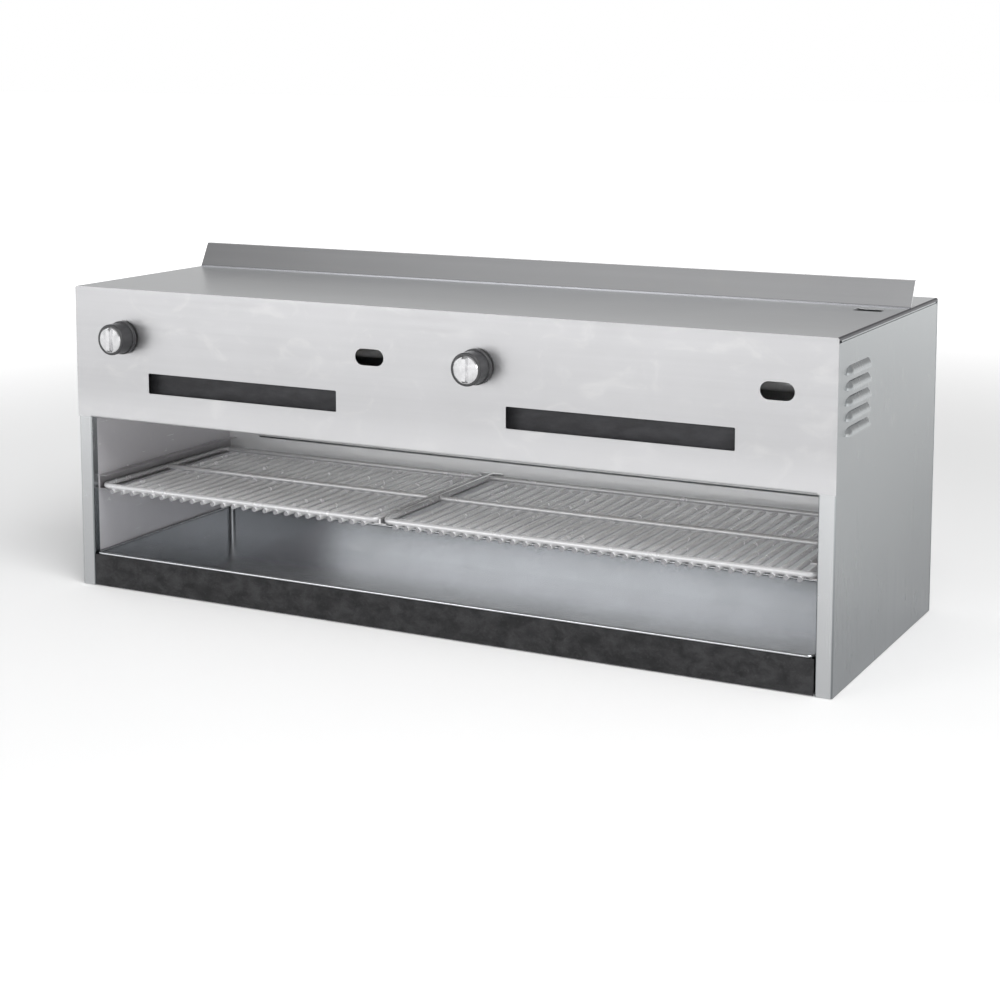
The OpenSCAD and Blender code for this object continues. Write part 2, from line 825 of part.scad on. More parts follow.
// Skirt and grip, turned about Y, with a recess for the cap and a bore for the stem
module knob(cx) {
  r = knob_d / 2;
  grip_r = r - 2;
  edge_r = 2;
  skirt = 7;
  skirt_r = 1.5;
  color(black) translate([cx, knob_back_y, knob_z]) rotate([90, 0, 0]) difference() {
    rotate_extrude() {
      square([r - skirt_r, skirt]);
      translate([0, skirt_r]) square([r, skirt - 2 * skirt_r]);
      for (y = [skirt_r, skirt - skirt_r]) translate([r - skirt_r, y]) circle(skirt_r);
      square([grip_r, knob_l - edge_r]);
      square([grip_r - edge_r, knob_l]);
      translate([grip_r - edge_r, knob_l - edge_r]) circle(edge_r);
    }
    rod_z([0, 0, knob_l - cap_sink], cap_sink + over, r - knob_rim + cap_play);
    rod_z([0, 0, -over], stem_in + over, stem_r);
  }
}

// Cap in the knob's face: a domed disc with a finger bar across it
module knob_cap(cx) {
  r = knob_d / 2 - knob_rim;
  t = cap_sink + 1;
  color(chrome) translate([cx, knob_back_y - knob_l + cap_sink, knob_z]) rotate([90, 0, 0]) {
    rotate_extrude() polygon([[0, 0], [r, 0], [r, t - 1], [r - 1.5, t], [0, t + 1]]);
    intersection() {
      translate([0, r, 0]) rotate([90, 0, 0]) linear_extrude(2 * r) polygon([
        [-grip_t / 2, 0],
        [grip_t / 2, 0],
        [grip_t / 2 - 2, t + grip_out],
        [-grip_t / 2 + 2, t + grip_out]
      ]);
      rotate_extrude() polygon([[0, 0], [r - 1, 0], [r - 1, t], [r - 4, t + grip_out], [0, t + grip_out]]);
    }
  }
}

module left_knob_cap() {
  knob_cap(-burner_x - knob_offset);
}

module right_knob_cap() {
  knob_cap(burner_x - knob_offset);
}

module left_knob() {
  knob(-burner_x - knob_offset);
}

module right_knob() {
  knob(burner_x - knob_offset);
}

module valve_stem(cx) {
  y0 = knob_back_y - stem_in;
  color(brass) rod_y([cx, y0, knob_z], valve_y0 + stem_depth - 0.5 - y0, stem_r);
}

module left_valve_stem() {
  valve_stem(-burner_x - knob_offset);
}

module right_valve_stem() {
  valve_stem(burner_x - knob_offset);
}

// Saddle valve: its back fits round the manifold and its outlet points down
module valve(cx) {
  bonnet = 8;
  outlet_z = knob_z - valve_r - 6;
  color(brass) difference() {
    union() {
      rod_y([cx, valve_y0 + bonnet - over, knob_z], manifold_cy - valve_y0 - bonnet + over, valve_r);
      rod_y([cx, valve_y0, knob_z], bonnet, valve_r - 3);
      rod_z([cx, valve_cy, outlet_z], knob_z - outlet_z, tube_r + 2.5);
    }
    rod_x([cx - 2 * valve_r, manifold_cy, knob_z], 4 * valve_r, pipe_r);
    box([cx - 2 * valve_r, manifold_cy, knob_z - 2 * valve_r],
        [cx + 2 * valve_r, manifold_cy + 2 * valve_r, knob_z + 2 * valve_r]);
    rod_y([cx, valve_y0 - over, knob_z], stem_depth + over, stem_r + stem_gap);
    rod_z([cx, valve_cy, outlet_z - over], 5 + over, tube_r);
  }
}

module left_valve() {
  valve(-burner_x - knob_offset);
}

module right_valve() {
  valve(burner_x - knob_offset);
}

// ---- burners ----

// Supply tube: down from the valve, back over the burner, then sideways into the orifice elbow
module burner_tube(cx) {
  r = tube_bend_r;
  x = cx - knob_offset;
  z_top = knob_z - valve_r - 1;
  color(dull_steel) {
    rod_z([x, valve_cy, mixer_z + r], z_top - mixer_z - r, tube_r);
    translate([x, valve_cy + r, mixer_z + r]) rotate([90, 0, -90]) mirror([0, 1, 0])
      wire_bend(r, tube_r);
    rod_y([x, valve_cy + r, mixer_z], burner_cy - valve_cy - 2 * r, tube_r);
    translate([x + r, burner_cy - r, mixer_z]) rotate(90) wire_bend(r, tube_r);
    rod_x([x + r, burner_cy, mixer_z], knob_offset + orifice_x + orifice_socket - r, tube_r);
  }
}

module left_burner_tube() {
  burner_tube(-burner_x);
}

module right_burner_tube() {
  burner_tube(burner_x);
}

// Hexagonal orifice holder on a bracket that stands on the gas box
module orifice(cx) {
  x = cx + orifice_x;
  l = 14;
  hex_r = tube_r + 4;
  color(brass) {
    difference() {
      translate([x, burner_cy, mixer_z]) rotate([0, 90, 0]) cylinder(h = l, r = hex_r, $fn = 6);
      rod_x([x - over, burner_cy, mixer_z], orifice_socket + over, tube_r);
      rod_x([x, burner_cy, mixer_z], l + over, 1);
    }
    difference() {
      box([x + 4, burner_cy - 12, plenum_top], [x + 6, burner_cy + 12, mixer_z + 12]);
      rod_x([x, burner_cy, mixer_z], l, hex_r - over);
    }
    box([x - 6, burner_cy - 12, plenum_top], [x + 6, burner_cy + 12, plenum_top + 2]);
  }
}

module left_orifice() {
  orifice(-burner_x);
}

module right_orifice() {
  orifice(burner_x);
}

// Mixing tube: a bell mouth, a throat, and an elbow down into the gas box
module mixing_tube(cx) {
  wall = 1.5;
  l = mixer_l - mixer_bend;
  throat = mixer_r - 5;
  color(dull_steel) translate([cx, burner_cy, 0]) {
    translate([-mixer_l, 0, mixer_z]) rotate([0, 90, 0]) rotate_extrude()
      polygon([
        [mouth_r - wall, 0],
        [mouth_r, 0],
        [mouth_r, 4],
        [throat + wall, 28],
        [mixer_r, l - 30],
        [mixer_r, l],
        [mixer_r - wall, l],
        [mixer_r - wall, l - 30],
        [throat, 28],
        [mouth_r - wall, 4]
      ]);
    translate([-mixer_bend, 0, mixer_z - mixer_bend]) rotate([90, 0, 0])
      rotate_extrude(angle = 90) translate([mixer_bend, 0]) difference() {
        circle(mixer_r);
        circle(mixer_r - wall);
      }
    difference() {
      union() {
        rod_z([0, 0, plenum_top], mixer_z - mixer_bend - plenum_top, mixer_r);
        rod_z([0, 0, plenum_top], 2, mixer_r + 10);
      }
      rod_z([0, 0, plenum_top - over], mixer_z - mixer_bend - plenum_top + 2 * over, mixer_r - wall);
    }
  }
}

module left_mixing_tube() {
  mixing_tube(-burner_x);
}

module right_mixing_tube() {
  mixing_tube(burner_x);
}

// Gas box over the tiles, open at the bottom, with a flange on the deck
module plenum(cx) {
  x = well_l / 2;
  y = well_w / 2;
  t = liner_t;
  color(dull_steel) translate([cx, burner_cy, 0]) difference() {
    union() {
      box([-x - t, -y - t, deck_top], [x + t, y + t, plenum_top]);
      box([-x - plenum_flange, -y - plenum_flange, deck_top],
          [x + plenum_flange, y + plenum_flange, deck_top + t]);
    }
    box([-x, -y, deck_top - over], [x, y, plenum_top - t]);
    rod_z([0, 0, plenum_top - t - over], t + 2 * over, mixer_r - 2);
  }
}

module left_plenum() {
  plenum(-burner_x);
}

module right_plenum() {
  plenum(burner_x);
}

// One ceramic tile with rows of grooves in its glowing face
module tile() {
  grooves = 9;
  groove_w = 3;
  step = tile_l / grooves;
  difference() {
    cube([tile_l, tile_w, tile_t]);
    for (k = [0 : grooves - 1])
      translate([(k + 0.5) * step - groove_w / 2, 4, -over]) cube([groove_w, tile_w - 8, over + 2]);
  }
}

module tiles(cx) {
  color([0.86, 0.80, 0.70]) translate([cx - field_l / 2, burner_cy - field_w / 2, deck_z])
    for (i = [0 : tiles_long - 1]) for (j = [0 : tiles_wide - 1])
      translate([i * (tile_l + tile_gap), j * (tile_w + tile_gap), 0]) tile();
}

module left_tiles() {
  tiles(-burner_x);
}

module right_tiles() {
  tiles(burner_x);
}

// Perforated guard that holds the tiles up
module burner_guard(cx) {
  x = well_l / 2;
  y = well_w / 2;
  edge = 8;
  nx = floor((2 * (x - edge) + guard_bar) / guard_pitch);
  ny = floor((2 * (y - edge) + guard_bar) / guard_pitch);
  hole = guard_pitch - guard_bar;
  color(dull_steel) translate([cx, burner_cy, deck_z - liner_t]) linear_extrude(liner_t)
    difference() {
      square([2 * (x + guard_lap), 2 * (y + guard_lap)], center = true);
      for (i = [0 : nx - 1]) for (j = [0 : ny - 1])
        translate([(i - (nx - 1) / 2) * guard_pitch, (j - (ny - 1) / 2) * guard_pitch])
          square(hole, center = true);
    }
}

module left_burner_guard() {
  burner_guard(-burner_x);
}

module right_burner_guard() {
  burner_guard(burner_x);
}

// ---- pilots ----

// Small valve beside the lighting port, turned with a screwdriver
module pilot_valve(cx) {
  x = cx + port_offset - pilot_back;
  r = 7;
  color(brass) difference() {
    union() {
      rod_y([x, valve_y0 + 6, knob_z], manifold_cy - valve_y0 - 6, r);
      rod_y([x, valve_y0 + 2, knob_z], 5, r - 2.5);
      rod_z([x, valve_cy, knob_z - r - 5], r + 5, pilot_tube_r + 2);
    }
    rod_x([x - 2 * r, manifold_cy, knob_z], 4 * r, pipe_r);
    box([x - 2 * r, manifold_cy, knob_z - 2 * r], [x + 2 * r, manifold_cy + r, knob_z + 2 * r]);
    // Screwdriver slot
    box([x - r, valve_y0 + 1, knob_z - 0.6], [x + r, valve_y0 + 3.5, knob_z + 0.6]);
    rod_z([x, valve_cy, knob_z - r - 5 - over], 3 + over, pilot_tube_r);
  }
}

module left_pilot_valve() {
  pilot_valve(-burner_x);
}

module right_pilot_valve() {
  pilot_valve(burner_x);
}

// Pilot tube: down from its valve, sideways to the port's centre line, and back to the pilot burner
module pilot_tube(cx) {
  x1 = cx + port_offset;
  x0 = x1 - pilot_back;
  r = pilot_bend_r;
  z = deck_top + pilot_up;
  color(dull_steel) {
    rod_z([x0, valve_cy, z + r], knob_z - 9 - z - r, pilot_tube_r);
    translate([x0 + r, valve_cy, z + r]) rotate([-90, 90, 0]) wire_bend(r, pilot_tube_r);
    rod_x([x0 + r, valve_cy, z], pilot_back - 2 * r, pilot_tube_r);
    translate([x1 - r, valve_cy + r, z]) rotate(270) wire_bend(r, pilot_tube_r);
    rod_y([x1, valve_cy + r, z], burner_cy - pilot_body_r + over - valve_cy - r, pilot_tube_r);
  }
}

module left_pilot_tube() {
  pilot_tube(-burner_x);
}

module right_pilot_tube() {
  pilot_tube(burner_x);
}

// Pilot burner: a body that hangs through the deck, its hood towards the tiles, on a foot plate
module pilot_burner(cx) {
  x = cx + port_offset;
  color(dull_steel) difference() {
    union() {
      rod_z([x, burner_cy, deck_z - 8], liner_t + 8 + pilot_up + 6, pilot_body_r);
      box([x - 7, burner_cy - 15, deck_top], [x + 12, burner_cy + 15, deck_top + 1.5]);
      box([x - 9, burner_cy - 4, deck_z - 8], [x, burner_cy + 4, deck_z - 4]);
    }
    rod_y([x, burner_cy - pilot_body_r - over, deck_top + pilot_up], 2 * over, pilot_tube_r);
  }
}

module left_pilot_burner() {
  pilot_burner(-burner_x);
}

module right_pilot_burner() {
  pilot_burner(burner_x);
}

// ---- gas supply ----

module manifold_pipe() {
  color(black) difference() {
    rod_x([manifold_x0, manifold_cy, knob_z], manifold_x1 - manifold_x0, pipe_r);
    rod_x([manifold_x0 - over, manifold_cy, knob_z], manifold_x1 - manifold_x0 + 2 * over, pipe_bore_r);
    for (s = [-1, 1]) for (dx = [-knob_offset, port_offset - pilot_back])
      rod_y([s * burner_x + dx, manifold_cy - pipe_r - over, knob_z], pipe_r, 2.5);
  }
}

module manifold_cap() {
  color(black) difference() {
    rod_x([manifold_x0 - 6, manifold_cy, knob_z], 6 + thread_l, elbow_r);
    rod_x([manifold_x0, manifold_cy, knob_z], thread_l + over, pipe_r);
  }
}

// Three brackets that stand on the deck and hold the manifold
module manifold_brackets() {
  w = pipe_r + 5;
  color(dull_steel) for (x = [-bracket_x, 0, bracket_x]) translate([x, manifold_cy, 0]) {
    difference() {
      union() {
        box([0, -w, deck_top], [bracket_t, w, knob_z]);
        rod_x([0, 0, knob_z], bracket_t, w);
      }
      rod_x([-over, 0, knob_z], bracket_t + 2 * over, pipe_r);
    }
    box([0, -w, deck_top], [22, w, deck_top + bracket_t]);
  }
}

// Cast elbow that turns the line to the back
module supply_elbow() {
  core = elbow_reach - thread_l;
  color(black) translate([supply_cx, manifold_cy, knob_z]) difference() {
    union() {
      sphere(elbow_r);
      rod_x([-elbow_reach, 0, 0], elbow_reach, elbow_r);
      rod_y([0, 0, 0], elbow_reach, elbow_r);
    }
    rod_x([-elbow_reach - over, 0, 0], thread_l + over, pipe_r);
    rod_x([-core, 0, 0], core, pipe_bore_r);
    rod_y([0, 0, 0], core, pipe_bore_r);
    rod_y([0, core, 0], thread_l + over, pipe_r);
  }
}

module gas_regulator() {
  color(dull_steel) translate([supply_cx, regulator_y, knob_z]) difference() {
    union() {
      // Turned profile, in shares of the body's radius
      rotate_extrude() polygon(regulator_r * [
        [0, -0.55],
        [0.48, -0.55],
        [0.62, -0.35],
        [0.62, 0.14],
        [1, 0.35],
        [1, 0.62],
        [0.69, 0.83],
        [0.45, 0.97],
        [0.45, 1.52],
        [0.35, 1.62],
        [0, 1.62]
      ]);
      rod_y([0, -port_reach, 0], 2 * port_reach, elbow_r);
    }
    for (s = [0, 1]) mirror([0, s, 0]) rod_y([0, port_reach - thread_l, 0], thread_l + over, pipe_r);
  }
}

// Two lengths of pipe: elbow to regulator, and regulator to the inlet coupling
module supply_pipe() {
  y0 = manifold_cy + elbow_reach - thread_l;
  y1 = regulator_y - port_reach + thread_l;
  y2 = regulator_y + port_reach - thread_l;
  y3 = back_y + inlet_out - coupling_l + thread_l;
  color(black) difference() {
    union() {
      rod_y([supply_cx, y0, knob_z], y1 - y0, pipe_r);
      rod_y([supply_cx, y2, knob_z], y3 - y2, pipe_r);
    }
    rod_y([supply_cx, y0 - over, knob_z], y3 - y0 + 2 * over, pipe_bore_r);
  }
}

// Reducing coupling whose open end is the gas inlet
module inlet_coupling() {
  y0 = back_y + inlet_out - coupling_l;
  color(black) difference() {
    rod_y([supply_cx, y0, knob_z], coupling_l, coupling_r);
    rod_y([supply_cx, y0 - over, knob_z], thread_l + over, pipe_r);
    rod_y([supply_cx, y0, knob_z], coupling_l, pipe_bore_r);
    rod_y([supply_cx, y0 + coupling_l - inlet_depth, knob_z], inlet_depth + over, inlet_bore_r);
  }
}

// ---- fixings ----

module rear_rail() {
  x = half_w - 2;
  t = skin_t;
  color(dull_steel) {
    box([-x, back_y, 0], [x, back_y + rear_rail_d, t]);
    box([-x, back_y, rear_rail_h - t], [x, back_y + rear_rail_d, rear_rail_h]);
    box([-x, back_y + rear_rail_d - t, 0], [x, back_y + rear_rail_d, rear_rail_h]);
  }
}

module leg_nuts() {
  color(dull_steel) for (x = [-1, 1]) for (y = [-1, 1])
    translate([x * (half_w - leg_inset), y * leg_y, skin_t]) difference() {
      cylinder(h = 8, r = nut_r, $fn = 6);
      translate([0, 0, -over]) cylinder(h = 8 + 2 * over, r = leg_hole_r);
    }
}

module screw_at(x, z) {
  rod_y([x, back_y, z], 2.5, screw_head_r);
  rod_y([x, back_in_y - skin_t - 3, z], liner_t + skin_t + 3, screw_r);
}

module back_screws() {
  color(chrome) {
    for (s = [-1, 1]) for (z = side_screw_z) screw_at(s * side_screw_x, z);
    for (x = roof_screw_x) screw_at(x, roof_screw_z);
  }
}

left_side_panel();
right_side_panel();
roof_panel();
flue_riser();
back_panel();
base_panel();
front_panel();
left_liner();
right_liner();
rear_liner();
burner_deck();
left_flue_side();
right_flue_side();
left_slot_baffle();
right_slot_baffle();
left_rack_guide();
right_rack_guide();
centre_rack_rail();
left_rack();
right_rack();
drip_pan();
pan_front();
left_knob();
right_knob();
left_knob_cap();
right_knob_cap();
left_valve_stem();
right_valve_stem();
left_valve();
right_valve();
left_burner_tube();
right_burner_tube();
left_orifice();
right_orifice();
left_mixing_tube();
right_mixing_tube();
left_plenum();
right_plenum();
left_tiles();
right_tiles();
left_burner_guard();
right_burner_guard();
left_pilot_valve();
right_pilot_valve();
left_pilot_tube();
right_pilot_tube();
left_pilot_burner();
right_pilot_burner();
manifold_pipe();
manifold_cap();
manifold_brackets();
supply_elbow();
gas_regulator();
supply_pipe();
inlet_coupling();
rear_rail();
leg_nuts();
back_screws();
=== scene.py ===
import math
import bpy
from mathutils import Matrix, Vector

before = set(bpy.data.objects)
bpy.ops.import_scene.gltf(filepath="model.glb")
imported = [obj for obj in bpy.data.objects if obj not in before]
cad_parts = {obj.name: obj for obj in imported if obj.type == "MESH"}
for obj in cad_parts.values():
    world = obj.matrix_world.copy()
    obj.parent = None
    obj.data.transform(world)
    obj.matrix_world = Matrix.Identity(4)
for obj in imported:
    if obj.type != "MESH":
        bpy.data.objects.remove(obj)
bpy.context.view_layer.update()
scene = bpy.context.scene
bpy.ops.object.select_all(action="DESELECT")
print("frame loaded:", len(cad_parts), "nodes")

white = (1.0, 1.0, 1.0)


# Shader building. A Field is one socket that can stand in a sum; a Finish is one material, or the sky.

class Field:
    def __init__(self, finish, socket):
        self.finish, self.socket = finish, socket

    def maths(self, operation, first, second=0.0):
        return self.finish.node("Math", {"operation": operation}, {0: first, 1: second})

    def __add__(self, other):
        return self.maths("ADD", self, other)

    def __radd__(self, other):
        return self.maths("ADD", other, self)

    def __sub__(self, other):
        return self.maths("SUBTRACT", self, other)

    def __rsub__(self, other):
        return self.maths("SUBTRACT", other, self)

    def __mul__(self, other):
        return self.maths("MULTIPLY", self, other)

    def __rmul__(self, other):
        return self.maths("MULTIPLY", other, self)

    def __truediv__(self, other):
        return self.maths("DIVIDE", self, other)

    def __rtruediv__(self, other):
        return self.maths("DIVIDE", other, self)

    def __pow__(self, other):
        return self.maths("POWER", self, other)

    def __abs__(self):
        return self.maths("ABSOLUTE", self)

    def pingPong(self, span):  # runs up to span and back again, over and over
        return self.maths("PINGPONG", self, span)

    def swing(self, amount):  # a noise of 0 to 1, turned into one that swings about 0
        return (self - 0.5) * amount

    def ramp(self, low, high):  # 0 below low, 1 above high, smooth between them
        return self.finish.node("MapRange", {"interpolation_type": "SMOOTHSTEP"},
                                {0: self, 1: low, 2: high, 3: 0.0, 4: 1.0})


class Finish:
    def __init__(self, name, owner=None):
        self.owner = owner or bpy.data.materials.new(name)
        self.owner.use_nodes = True
        self.tree = self.owner.node_tree
        self.tree.nodes.clear()

    # Makes any node: its type, the settings that are set first, then its sockets' values or links
    def node(self, kind, settings=None, inputs=None, output=0):
        made = self.tree.nodes.new("ShaderNode" + kind)
        for key, value in (settings or {}).items():
            setattr(made, key, value)
        for key, value in (inputs or {}).items():
            socket = made.inputs[key]
            if isinstance(value, Field):
                self.tree.links.new(value.socket, socket)
            elif socket.type == "RGBA":
                socket.default_value = (*value, 1.0)
            else:
                socket.default_value = value
        return Field(self, made.outputs[output]) if made.outputs else None

    # Object coordinates, stretched and shifted; one number stretches all three axes alike
    def place(self, stretch, shift):
        if not hasattr(stretch, "__len__"):
            stretch = (stretch,) * 3
        point = self.node("TexCoord", output="Object")
        scaled = self.node("VectorMath", {"operation": "MULTIPLY"}, {0: point, 1: stretch})
        return self.node("VectorMath", {"operation": "ADD"}, {0: scaled, 1: shift})

    def axis(self, letter):
        return self.node("SeparateXYZ", inputs={0: self.node("TexCoord", output="Object")}, output=letter)

    def noise(self, stretch, detail, rough, shift=(0.0, 0.0, 0.0), distortion=0.0):
        return self.node("TexNoise", inputs={
            "Vector": self.place(stretch, shift), "Scale": 1.0, "Detail": detail,
            "Roughness": rough, "Distortion": distortion})

    def blend(self, factor, first, second):
        return self.node("Mix", {"data_type": "RGBA", "clamp_factor": True},
                         {0: factor, 6: first, 7: second}, output=2)

    def bump(self, height, distance, strength=1.0, under=None):
        inputs = {"Strength": strength, "Distance": distance, "Height": height}
        if under:
            inputs["Normal"] = under
        return self.node("Bump", inputs=inputs)

    def close(self, **sockets):
        names = {"colour": "Base Color", "rough": "Roughness", "metal": "Metallic", "normal": "Normal",
                 "specular": "Specular IOR Level", "anisotropy": "Anisotropic", "rim": "Specular Tint"}
        surface = self.node("BsdfPrincipled", inputs={names[key]: value for key, value in sockets.items()})
        self.node("OutputMaterial", inputs={"Surface": surface})
        return self.owner


# Patterns that run long along one axis of the sheet
grainStretch = {"x": (6.0, 900.0, 900.0), "y": (900.0, 6.0, 900.0), "z": (900.0, 900.0, 6.0)}
streakStretch = {"x": (1.6, 130.0, 130.0), "y": (130.0, 1.6, 130.0), "z": (130.0, 130.0, 1.6)}
grainNoise = {"detail": 3.0, "rough": 0.6}


# Rolled and brushed stainless sheet: fine grain along one axis, long streaks, soft waves and wiped smudges
brushed = {
    "streaks": {"detail": 4.0, "rough": 0.65, "shift": (3.0, 7.0, 1.0)},
    "cloud": {"stretch": 5.0, "detail": 4.0, "rough": 0.55, "shift": (1.7, 0.3, 5.1), "distortion": 0.6},
    "wave": {"stretch": 2.2, "detail": 1.0, "rough": 0.4, "shift": (9.0, 2.0, 4.0)},
    "wiped": {"stretch": (14.0, 30.0, 22.0), "detail": 5.0, "rough": 0.6, "shift": (2.0, 8.0, 3.0),
              "distortion": 1.4},
    "wipedFrom": 0.52, "wipedTo": 0.74,
    "grainRough": 0.12, "streakRough": 0.14, "cloudRough": 0.10, "wipedRough": 0.25, "grainStrength": 0.6,
}


def brushedSheet(name, look):
    f = Finish(name)
    grain = f.noise(grainStretch[look["grain"]], **grainNoise)
    streaks = f.noise(streakStretch[look["grain"]], **brushed["streaks"])
    cloud = f.noise(**brushed["cloud"])
    wiped = f.noise(**brushed["wiped"]).ramp(brushed["wipedFrom"], brushed["wipedTo"]) * look["smudge"]
    tone = streaks.swing(look["streak"]) + cloud.swing(look["cloud"]) + 0.5
    colour = f.blend(tone, look["dark"], look["light"])
    colour = f.blend(wiped, colour, look["smudgeColour"])
    if "foot" in look:  # painted light and shade: lighter or darker towards the bottom of the piece, standing in for how the light falls there
        foot = look["foot"]
        colour = f.blend((1.0 - f.axis("Z").ramp(*foot["span"])) * foot["share"], colour, foot["colour"])
    if "roofEndShade" in look:  # painted shade: a dark line at both ends of the roof, over its bent-down lips, standing in for the shadow there
        colour = f.blend(abs(f.axis("X")).ramp(*look["roofEndShade"]["span"]), colour, look["roofEndShade"]["colour"])
    if "edge" in look:  # painted highlight: the folded front lip is painted near white, standing in for the light it catches
        colour = f.blend(1.0 - f.axis("Y").ramp(*look["edge"]["span"]), colour, look["edge"]["colour"])
    rough = (look["rough"] + grain.swing(brushed["grainRough"] * look["fine"])
             + streaks.swing(brushed["streakRough"] * look["fine"])
             + cloud.swing(brushed["cloudRough"] * look["fine"]) + wiped * brushed["wipedRough"])
    waves = f.bump(f.noise(**brushed["wave"]), look["wave"])
    return f.close(colour=colour, rough=rough, metal=1.0, anisotropy=look["anisotropy"],
                   normal=f.bump(grain, look["relief"], brushed["grainStrength"], waves))


# "fine" is how much the roughness varies, "relief" the depth of the grain, "wave" that of the waves
caseLook = {
    "grain": "x", "dark": (0.44, 0.44, 0.45), "light": (0.54, 0.54, 0.55), "streak": 0.45, "cloud": 0.35,
    "smudge": 0.14, "smudgeColour": (0.78, 0.77, 0.74), "rough": 0.33, "fine": 1.0, "relief": 0.00004,
    "wave": 0.0012, "anisotropy": 0.35,
}
# painted light: the lower band of the front panel, just above its bottom bend, is lightened towards a pale grey
frontLook = {**caseLook, "foot": {"span": (0.268, 0.335), "share": 0.55, "colour": (0.66, 0.66, 0.67)}}
sideLook = {
    **caseLook, "grain": "z", "dark": (0.38, 0.40, 0.41), "light": (0.52, 0.54, 0.55), "rough": 0.24,
    # painted highlight: near white on the front lip of the side
    "wave": 0.0016, "edge": {"span": (-0.2312, -0.2300), "colour": (0.97, 0.97, 0.98)},
    # painted shade: the side turns dark towards its bottom, standing in for the shadowed floor it mirrors there
    "foot": {"span": (0.0, 0.36), "share": 0.74, "colour": (0.11, 0.12, 0.13)},
}
roofLook = {
    **caseLook, "dark": (0.70, 0.71, 0.72), "light": (0.84, 0.85, 0.86), "rough": 0.30, "fine": 0.4,
    "relief": 0.00001, "wave": 0.0005, "anisotropy": 0.1,
    # painted shade: dark line over the roof's bent-down lips at both ends
    "roofEndShade": {"span": (0.6062, 0.6074), "colour": (0.07, 0.07, 0.08)},
}
riserLook = {
    **caseLook, "dark": (0.68, 0.68, 0.70), "light": (0.84, 0.85, 0.86), "rough": 0.16,
    # painted shade: a thin dark line along the bottom of the riser, where it meets the roof, standing in for the
    # shade in that corner
    "foot": {"span": (0.4712, 0.4724), "share": 0.85, "colour": (0.10, 0.10, 0.11)},
}
guideLook = {**caseLook, "grain": "y", "dark": (0.40, 0.39, 0.40), "light": (0.56, 0.55, 0.56), "rough": 0.36}
railLook = {**caseLook, "grain": "y", "dark": (0.66, 0.66, 0.67), "light": (0.84, 0.84, 0.85), "rough": 0.34}
bracketLook = {**caseLook, "dark": (0.46, 0.47, 0.48), "light": (0.66, 0.67, 0.68), "rough": 0.42, "wave": 0.0006}
pilotLook = {**bracketLook, "grain": "z"}


# Inner sheet of the cavity: dulled, with a straw heat tint that fades down from the burners
heated = {
    "cloud": {"stretch": 6.0, "detail": 5.0, "rough": 0.6, "shift": (4.0, 1.0, 2.0), "distortion": 0.8},
    "wave": {"stretch": 3.0, "detail": 1.0, "rough": 0.4},
    "spots": {"stretch": 60.0, "detail": 3.0, "rough": 0.6, "shift": (0.0, 3.0, 1.0)},
    "spotFrom": 0.60, "spotTo": 0.76, "spotShare": 0.05, "spotColour": (0.24, 0.21, 0.18),
    "heatWander": 0.08, "toneSwing": 0.7,
    "grainRough": 0.12, "cloudRough": 0.12, "spotRough": 0.03, "relief": 0.00004, "grainStrength": 0.6,
}


def heatedSheet(name, look):
    f = Finish(name)
    grain = f.noise(grainStretch[look["grain"]], **grainNoise)
    cloud = f.noise(**heated["cloud"])
    spots = f.noise(**heated["spots"]).ramp(heated["spotFrom"], heated["spotTo"])
    heat = (f.axis("Z") + cloud.swing(heated["heatWander"])).ramp(look["coolZ"], look["hotZ"])
    colour = f.blend(cloud.swing(heated["toneSwing"]) + 0.5, look["dark"], look["light"])
    colour = f.blend(heat * look["tint"], colour, look["heatColour"])
    colour = f.blend(spots * heated["spotShare"], colour, heated["spotColour"])
    rough = (look["rough"] + grain.swing(heated["grainRough"]) + cloud.swing(heated["cloudRough"])
             + spots * heated["spotRough"])
    waves = f.bump(f.noise(**heated["wave"]), look["wave"])
    return f.close(colour=colour, rough=rough, metal=look["metal"], anisotropy=look["anisotropy"],
                   normal=f.bump(grain, heated["relief"], heated["grainStrength"], waves))


linerLook = {
    "grain": "x", "dark": (0.90, 0.91, 0.92), "light": (0.96, 0.97, 0.98), "rough": 0.20, "wave": 0.0010,
    "metal": 0.3, "anisotropy": 0.2, "coolZ": 0.24, "hotZ": 0.40, "tint": 0.12, "heatColour": (0.66, 0.61, 0.54),
}
wallLook = {
    **linerLook, "grain": "y", "dark": (0.60, 0.59, 0.61), "light": (0.74, 0.73, 0.76), "rough": 0.24,
    "metal": 0.5,
}
deckLook = {**linerLook, "dark": (0.78, 0.77, 0.76), "light": (0.92, 0.91, 0.90), "rough": 0.42, "coolZ": 0.10}
guardLook = {**deckLook, "rough": 0.48}


# Zinc-coated sheet, with the flat crystals of the coat
coated = {
    "cloud": {"stretch": 7.0, "detail": 4.0, "rough": 0.6, "distortion": 0.5},
    "streaks": {"detail": 3.0, "rough": 0.6},
    "toneShare": 0.45, "cloudShare": 0.45, "toneRough": 0.16, "cloudRough": 0.14, "streakRough": 0.06,
    "streakRelief": 0.6, "relief": 0.00006,
}


def galvanised(name, look):
    f = Finish(name)
    point = f.place(look["crystal"], (0.0, 0.0, 0.0))
    crystals = f.node("TexVoronoi", {"feature": "F1"}, {"Vector": point, "Scale": 1.0}, output="Color")
    tone = f.node("SeparateColor", inputs={0: crystals})
    cloud = f.noise(**coated["cloud"])
    streaks = f.noise(streakStretch["x"], **coated["streaks"])
    colour = f.blend(tone * coated["toneShare"] + cloud * coated["cloudShare"], look["dark"], look["light"])
    rough = (look["rough"] + tone.swing(coated["toneRough"]) + cloud.swing(coated["cloudRough"])
             + streaks.swing(coated["streakRough"]))
    return f.close(colour=colour, rough=rough, metal=1.0,
                   normal=f.bump(tone + streaks * coated["streakRelief"], coated["relief"]))


